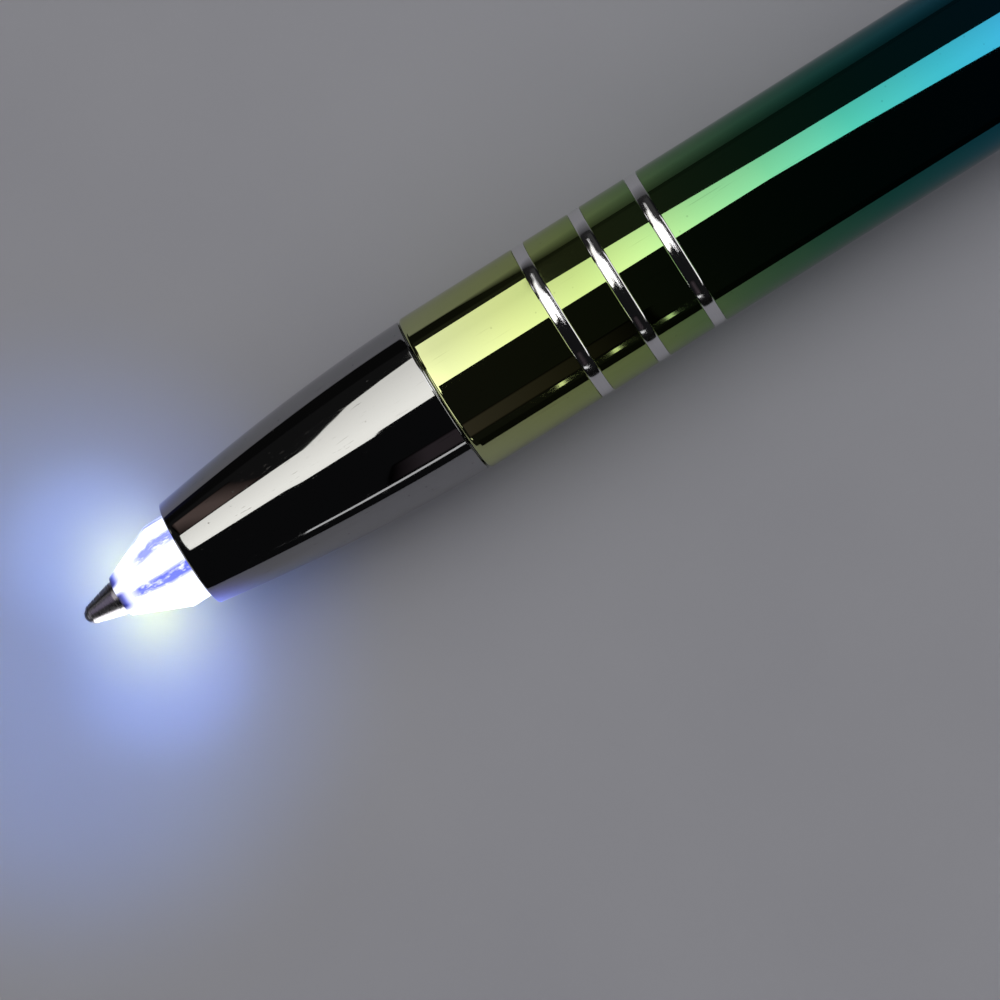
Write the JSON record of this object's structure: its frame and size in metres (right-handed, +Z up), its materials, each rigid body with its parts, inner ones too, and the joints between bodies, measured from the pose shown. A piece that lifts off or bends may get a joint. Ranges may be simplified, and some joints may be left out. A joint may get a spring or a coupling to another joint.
{
  "type": "stylus ballpoint pen",
  "caption": "Slim metal twist-action ballpoint pen with a lighted clear tip, an iridescent ringed barrel, a pocket clip and a rubber stylus on its other end.",
  "frame": {"origin": "on the table, below the middle of the box round the pen as it lies on its barrel and its clip", "axes": "+X along the pen from the writing end to the stylus, +Z up from the table, the clip on the -Y side"},
  "size_m": [0.1396, 0.0134, 0.01],
  "materials": {
    "nose_chrome": "dark mirror chrome with fine handling scratches",
    "trim_chrome": "mirror chrome",
    "rainbow_coat": "polished, with an iridescent coat that runs from gold through green to blue and violet",
    "clear_acrylic": "clear, lit from inside",
    "nib_steel": "turned nickel silver",
    "spring_steel": "plain wire",
    "contact_brass": "turned",
    "white_plastic": "moulded",
    "black_plastic": "moulded",
    "board_resin": "glass-filled laminate",
    "led_resin": "cast resin",
    "cell_steel": "nickel plated",
    "stylus_rubber": "matt conductive rubber"
  },
  "bodies": {
    "lower_body": {"nose_cone": "nose_chrome", "light_tip": "clear_acrylic", "lower_barrel": "rainbow_coat", "led_board": "board_resin", "led_1": "led_resin", "led_2": "led_resin", "led_3": "led_resin", "board_resistor": "black_plastic", "board_retainer": "white_plastic", "contact_spring": "spring_steel", "contact_tube": "contact_brass", "insulating_sleeve": "white_plastic", "guide_sleeve": "contact_brass", "snap_ring": "spring_steel"},
    "upper_body": {"centre_band": "trim_chrome", "upper_barrel": "rainbow_coat", "cam_sleeve": "white_plastic", "battery_spring": "spring_steel", "battery_sleeve": "white_plastic", "button_cell_1": "cell_steel", "button_cell_2": "cell_steel", "button_cell_3": "cell_steel", "contact_disc": "contact_brass", "switch_housing": "black_plastic", "clip": "trim_chrome", "top_collar": "trim_chrome", "button_spring": "spring_steel"},
    "refill": {"refill_carrier": "white_plastic", "follower_pin": "spring_steel", "refill_nib": "nib_steel", "refill_tube": "contact_brass"},
    "ball": {"writing_ball": "nib_steel"},
    "stylus_button": {"switch_plunger": "contact_brass", "stylus_holder": "trim_chrome", "stylus_tip": "stylus_rubber"}
  },
  "joints": [
    {"name": "barrel_twist", "type": "hinge", "parent": "lower_body", "child": "upper_body", "pos_m": [0.00413, 0.0017, 0.005], "axis": [1, 0, 0], "range_deg": [0, 180]},
    {"name": "refill_slide", "type": "slide", "parent": "lower_body", "child": "refill", "axis": [1, 0, 0], "range_m": [0, 0.005]},
    {"name": "ball_roll", "type": "hinge", "parent": "refill", "child": "ball", "pos_m": [-0.06933, 0.0017, 0.005], "axis": [0, 1, 0], "continuous": true},
    {"name": "stylus_press", "type": "slide", "parent": "upper_body", "child": "stylus_button", "axis": [-1, 0, 0], "range_m": [0, 0.0012], "stiffness_N_per_m": 1500, "deforming": ["button_spring"]}
  ],
  "couplings": [
    {"joint": "refill_slide", "follows": "barrel_twist", "m_per_rad": 0.0015915}
  ]
}
